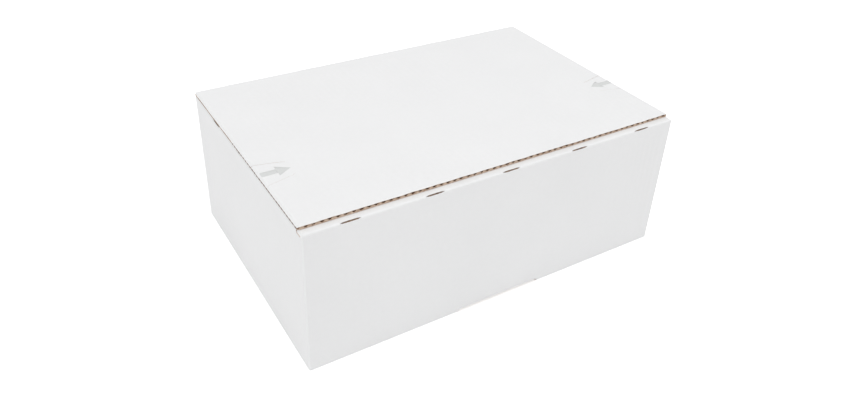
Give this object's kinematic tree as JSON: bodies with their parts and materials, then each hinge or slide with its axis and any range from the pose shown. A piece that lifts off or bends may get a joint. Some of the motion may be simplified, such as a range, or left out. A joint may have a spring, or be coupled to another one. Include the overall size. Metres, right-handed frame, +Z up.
{
  "type": "shipping box",
  "caption": "White-faced corrugated shipping box folded from one blank, closed by a hinged lid with push-in tongues at its sides.",
  "frame": {"origin": "middle of the bottom face, on the surface the box stands on", "axes": "+X along the box's width to the right, +Y from the front wall to the lid's fold at the back, +Z up"},
  "size_m": [0.38, 0.253, 0.143],
  "materials": {
    "board": "white coated outer face, brown inside and at the cut edges, matte",
    "arrow_print": "flat light grey print, matte"
  },
  "bodies": {
    "box": {"box_body": "board"},
    "lid": {"lid": "board", "arrow_print_left": "arrow_print", "arrow_print_right": "arrow_print"}
  },
  "joints": [
    {"name": "lid_hinge", "type": "hinge", "parent": "box", "child": "lid", "pos_m": [0, 0.1265, 0.143], "axis": [-1, 0, 0], "range_deg": [0, 180]}
  ]
}
